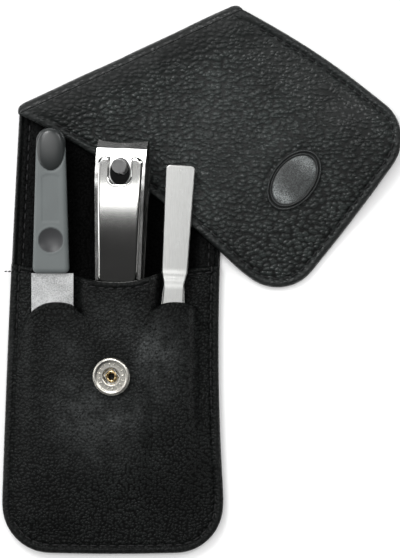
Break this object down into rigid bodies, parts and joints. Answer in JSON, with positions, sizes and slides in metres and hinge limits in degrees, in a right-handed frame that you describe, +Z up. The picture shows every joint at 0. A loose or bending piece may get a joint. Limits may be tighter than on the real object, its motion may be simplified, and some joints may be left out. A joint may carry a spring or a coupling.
{
  "type": "manicure set case",
  "caption": "Black leather pocket case lying open on its back, flap folded aside, a nail file, nail clipper and tweezers in its stitched pocket; snap fastener on flap and pocket.",
  "frame": {"origin": "middle of the flat underside of the case's back, on the table that it lies on", "axes": "+Z up from the table, +Y from the pocket's bottom towards the crease of the flap, +X to the side the flap is folded over to"},
  "size_m": [0.1228, 0.1699, 0.0181],
  "materials": {
    "outer_leather": "black cowhide, pebbled grain on the flap and fine grain on the pocket",
    "lining_leather": "thin smooth black lining",
    "badge_leather": "glossy black pressed leather",
    "nickel_plate": "nickel-plated pressed sheet",
    "spring_wire": "bright drawn wire",
    "eyelet_brass": "turned-over brass tube",
    "file_steel": "finely cut file surface",
    "handle_plastic": "warm dark grey, half gloss",
    "clipper_steel": "satin nickel over steel",
    "lever_steel": "satin nickel over steel",
    "tweezers_steel": "brushed stainless steel"
  },
  "bodies": {
    "case": {"back_leather": "outer_leather", "back_lining": "lining_leather", "crease_leather": "outer_leather", "crease_lining": "lining_leather", "front_panel_leather": "outer_leather", "front_panel_lining": "lining_leather", "snap_socket_cap": "nickel_plate", "snap_socket_base": "nickel_plate", "snap_socket_spring": "spring_wire", "snap_socket_eyelet": "eyelet_brass"},
    "flap": {"flap_leather": "outer_leather", "flap_lining": "lining_leather", "flap_badge": "badge_leather", "snap_stud": "nickel_plate", "snap_stud_rivet": "nickel_plate"},
    "file": {"file_blade": "file_steel", "file_handle": "handle_plastic"},
    "clipper": {"clipper_lower_arm": "clipper_steel", "clipper_rear_rivet": "clipper_steel", "clipper_pin": "clipper_steel"},
    "clipper_upper": {"clipper_upper_arm": "clipper_steel"},
    "lever": {"clipper_lever": "lever_steel"},
    "tweezers": {"tweezers_back_arm": "tweezers_steel"},
    "tweezers_front": {"tweezers_front_arm": "tweezers_steel"}
  },
  "joints": [
    {"name": "flap_fold", "type": "hinge", "parent": "case", "child": "flap", "pos_m": [-0.0293, 0.0664, 0.0026], "axis": [-0.9063, -0.4226, 0], "range_deg": [0, 180], "deforming": ["flap_leather", "flap_lining", "crease_leather", "crease_lining"]},
    {"name": "file_slide", "type": "slide", "parent": "case", "child": "file", "axis": [0, 0.9992, 0.04], "range_m": [0, 0.062]},
    {"name": "clipper_slide", "type": "slide", "parent": "case", "child": "clipper", "axis": [0.034, 0.9986, 0.04], "range_m": [0, 0.036]},
    {"name": "clipper_squeeze", "type": "hinge", "parent": "clipper", "child": "clipper_upper", "pos_m": [0.00104, -0.02155, 0.00487], "axis": [-0.9773, 0.0416, -0.2077], "range_deg": [0, 1.15], "stiffness_Nm_per_rad": 12},
    {"name": "lever_lift", "type": "hinge", "parent": "clipper_upper", "child": "lever", "pos_m": [0.00177, 0.05008, 0.01578], "axis": [-0.9773, 0.0416, -0.2077], "range_deg": [0, 1]},
    {"name": "tweezers_slide", "type": "slide", "parent": "case", "child": "tweezers", "axis": [0.0575, 0.9975, 0.04], "range_m": [0, 0.046]},
    {"name": "tweezers_pinch", "type": "hinge", "parent": "tweezers", "child": "tweezers_front", "pos_m": [0.02059, 0.05066, 0.00715], "axis": [0.9983, -0.0576, 0], "range_deg": [0, 0.95], "stiffness_Nm_per_rad": 4}
  ]
}
